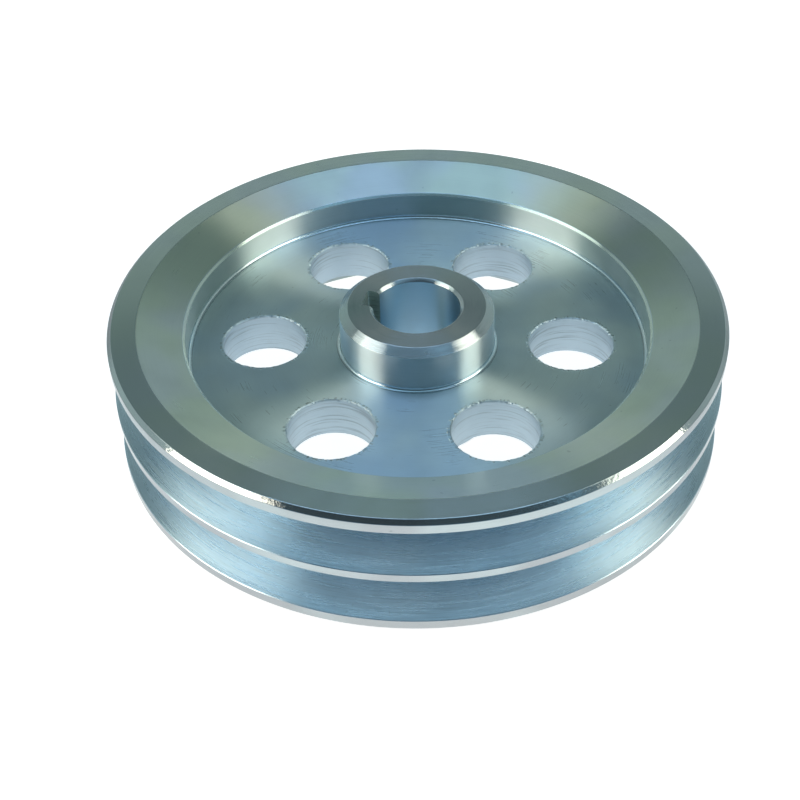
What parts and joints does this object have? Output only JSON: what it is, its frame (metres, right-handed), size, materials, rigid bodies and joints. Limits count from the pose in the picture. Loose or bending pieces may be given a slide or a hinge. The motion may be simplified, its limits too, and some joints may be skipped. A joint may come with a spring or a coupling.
{
  "type": "v belt pulley",
  "caption": "Zinc-plated steel V-belt pulley with a grooved rim, a web recessed on both sides and pierced by round holes, and a keyed hub held by a set screw.",
  "frame": {"origin": "on the bore axis at mid-width", "axes": "+Z along the bore axis towards the front face, -X through the middle of the keyway"},
  "size_m": [0.197, 0.197, 0.044],
  "materials": {
    "zinc_plated_steel": "turned bright, then zinc plated and passivated pale blue",
    "black_oxide_steel": "black oxide, lightly oiled"
  },
  "bodies": {
    "pulley": {"rim": "zinc_plated_steel", "web_disc": "zinc_plated_steel", "hub": "zinc_plated_steel", "front_rim_weld": "zinc_plated_steel", "rear_rim_weld": "zinc_plated_steel", "front_hub_weld": "zinc_plated_steel", "rear_hub_weld": "zinc_plated_steel"},
    "set_screw": {"set_screw": "black_oxide_steel"}
  },
  "joints": [
    {"name": "set_screw_travel", "type": "slide", "parent": "pulley", "child": "set_screw", "axis": [1, 0, 0], "range_m": [0, 0.0018]}
  ]
}
